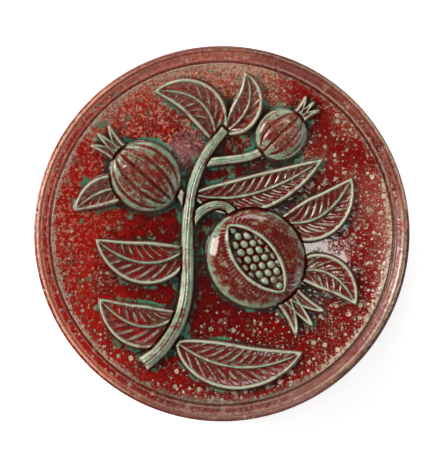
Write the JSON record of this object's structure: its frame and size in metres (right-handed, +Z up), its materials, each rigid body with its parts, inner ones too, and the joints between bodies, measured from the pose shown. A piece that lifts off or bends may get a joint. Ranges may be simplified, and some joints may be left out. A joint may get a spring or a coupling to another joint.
{
  "type": "stoneware dish",
  "caption": "Large round shallow stoneware dish on a foot ring, with a turned rim, glossy oxblood glaze and a pomegranate bough in high relief.",
  "frame": {"origin": "middle of the foot ring's resting plane", "axes": "+Z up through the middle of the dish, towards the viewer when it hangs or stands; +Y to the top of the relief; +X to its right"},
  "size_m": [0.39, 0.39, 0.0538],
  "materials": {
    "oxblood_glaze": "glossy deep red glaze with pale pits",
    "relief_glaze": "glossy red glaze that breaks to grey-green on the edges",
    "pale_glaze": "glossy grey-green glaze, red where it pools",
    "bare_stoneware": "matt unglazed stoneware"
  },
  "bodies": {
    "root": {"dish_body": "oxblood_glaze", "foot_ring": "bare_stoneware", "main_stem": "relief_glaze", "branch_to_split_fruit": "relief_glaze", "branch_to_round_fruit": "relief_glaze", "branch_to_small_fruit": "relief_glaze", "leaf_lower_right": "relief_glaze", "leaf_lower_left": "relief_glaze", "leaf_middle_left": "relief_glaze", "leaf_middle_right": "relief_glaze", "leaf_right": "relief_glaze", "leaf_right_low": "relief_glaze", "leaf_top": "relief_glaze", "leaf_top_left": "relief_glaze", "leaf_far_left": "relief_glaze", "split_fruit": "relief_glaze", "split_fruit_crown": "relief_glaze", "seed_cluster": "pale_glaze", "round_fruit": "relief_glaze", "round_fruit_crown": "relief_glaze", "small_fruit": "relief_glaze", "small_fruit_crown": "relief_glaze"}
  },
  "joints": []
}
